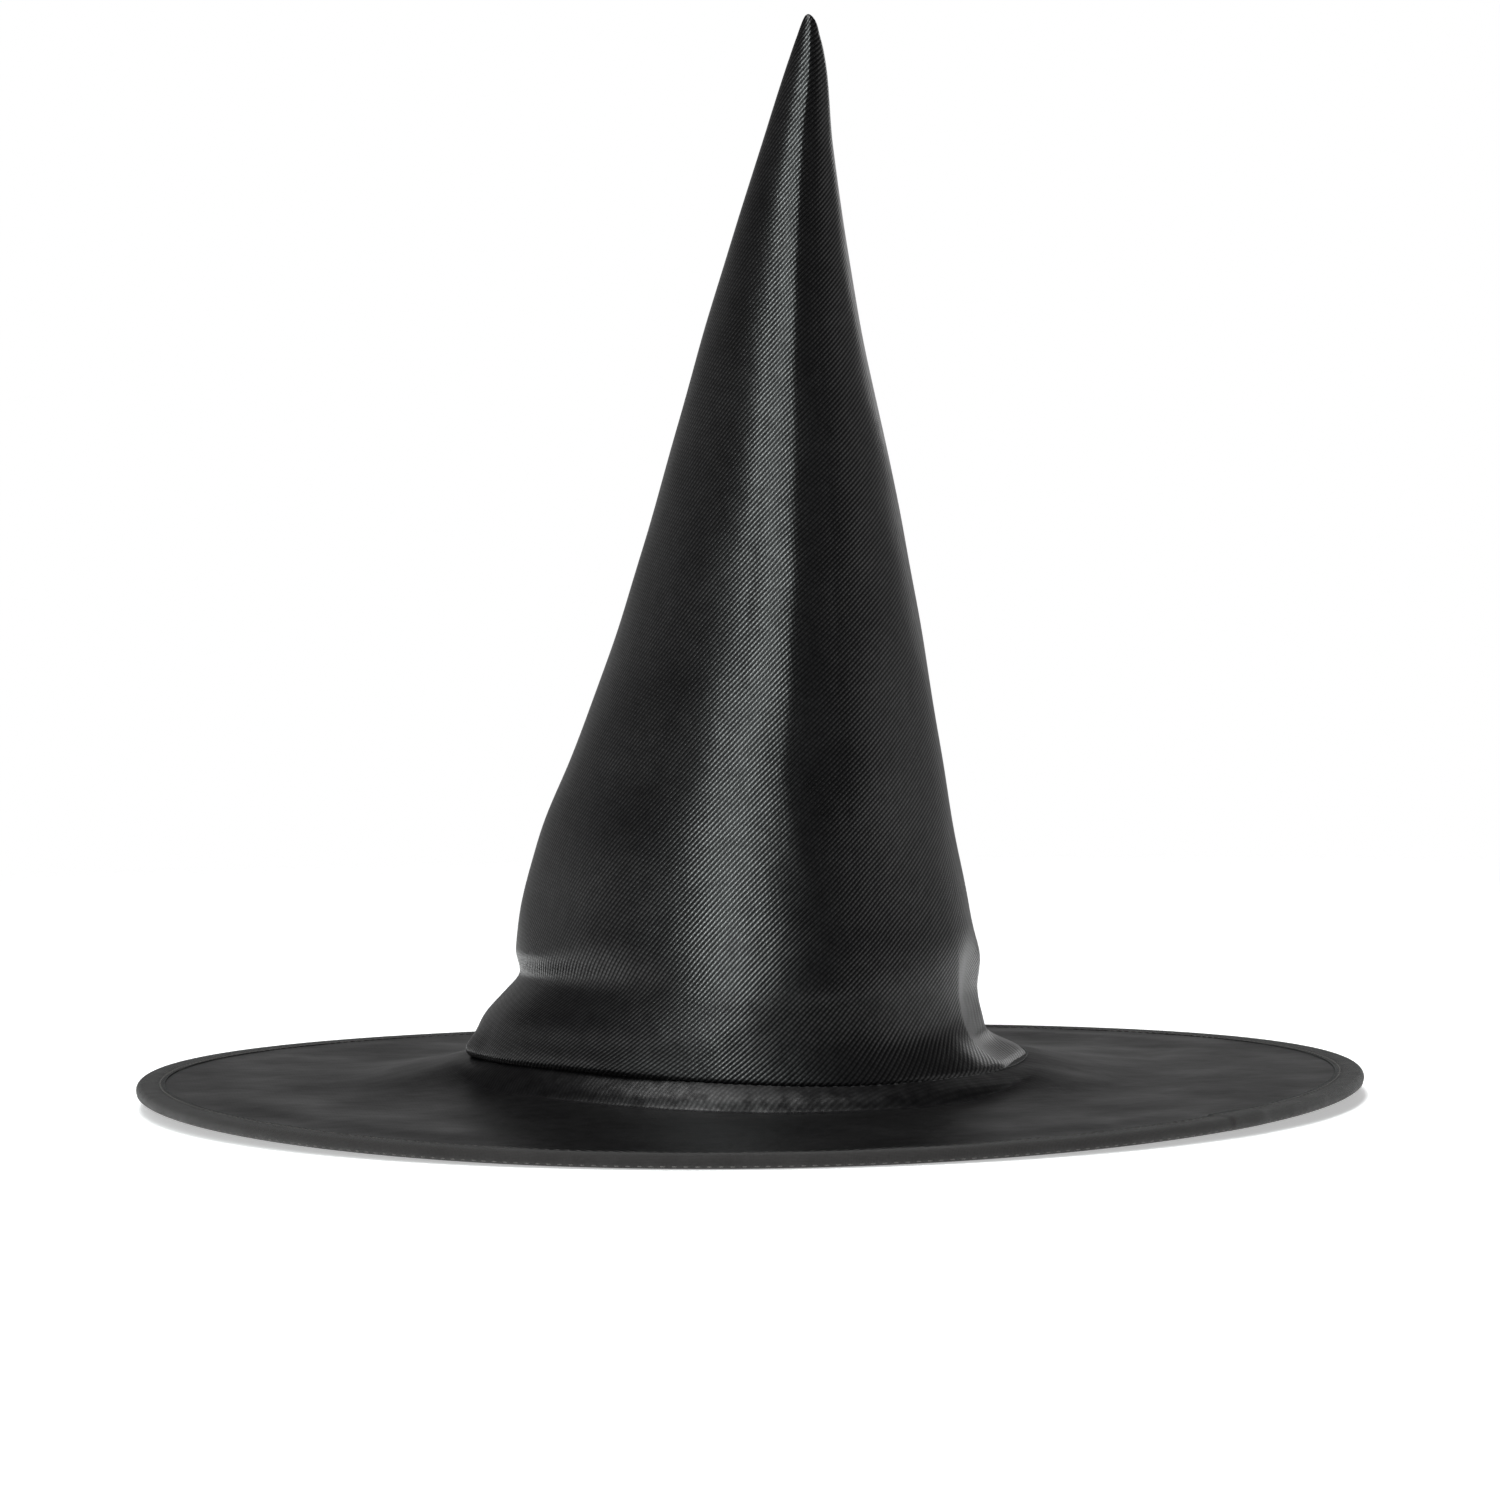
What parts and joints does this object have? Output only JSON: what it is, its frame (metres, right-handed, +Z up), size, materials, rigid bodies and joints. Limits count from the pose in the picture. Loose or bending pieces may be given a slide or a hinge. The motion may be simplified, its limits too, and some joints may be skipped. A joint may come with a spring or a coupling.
{
  "type": "witch hat",
  "caption": "Soft pointed cone hat with a leaning tip on a wide round brim stiffened by a wire in its bound edge, worn on the head or stood on its brim.",
  "frame": {"origin": "centre of the brim, on the plane that the hat stands on", "axes": "+Z up from the brim to the tip, -Y the front, with the crown's seam at the back at +Y, and +X the side that the tip leans to"},
  "size_m": [0.4, 0.4, 0.3525],
  "materials": {
    "black_satin": "black polyester satin with a fine diagonal twill",
    "foam": "soft black foam interlining",
    "tricot": "matte black knitted lining",
    "binding_tape": "matte black folded tape",
    "thread": "black sewing thread",
    "grosgrain": "ribbed black ribbon",
    "label_satin": "blank white woven satin label",
    "spring_steel": "drawn spring wire",
    "ferrule": "crimped thin tube"
  },
  "bodies": {
    "hat": {"crown_shell": "black_satin", "crown_foam": "foam", "crown_lining": "tricot", "back_seam_tape": "binding_tape", "brim_top_cover": "black_satin", "brim_core": "foam", "brim_under_cover": "black_satin", "edge_binding": "binding_tape", "binding_thread": "thread", "crown_seam_thread": "thread", "hoop_wire": "spring_steel", "hoop_sleeve": "ferrule", "sweatband": "grosgrain", "sweatband_thread": "thread"},
    "care_label": {"care_label": "label_satin"}
  },
  "joints": [
    {"name": "label_flap", "type": "hinge", "parent": "hat", "child": "care_label", "pos_m": [-0.0022, 0.0842, 0.0363], "axis": [-1, 0, 0], "range_deg": [0, 140]}
  ]
}
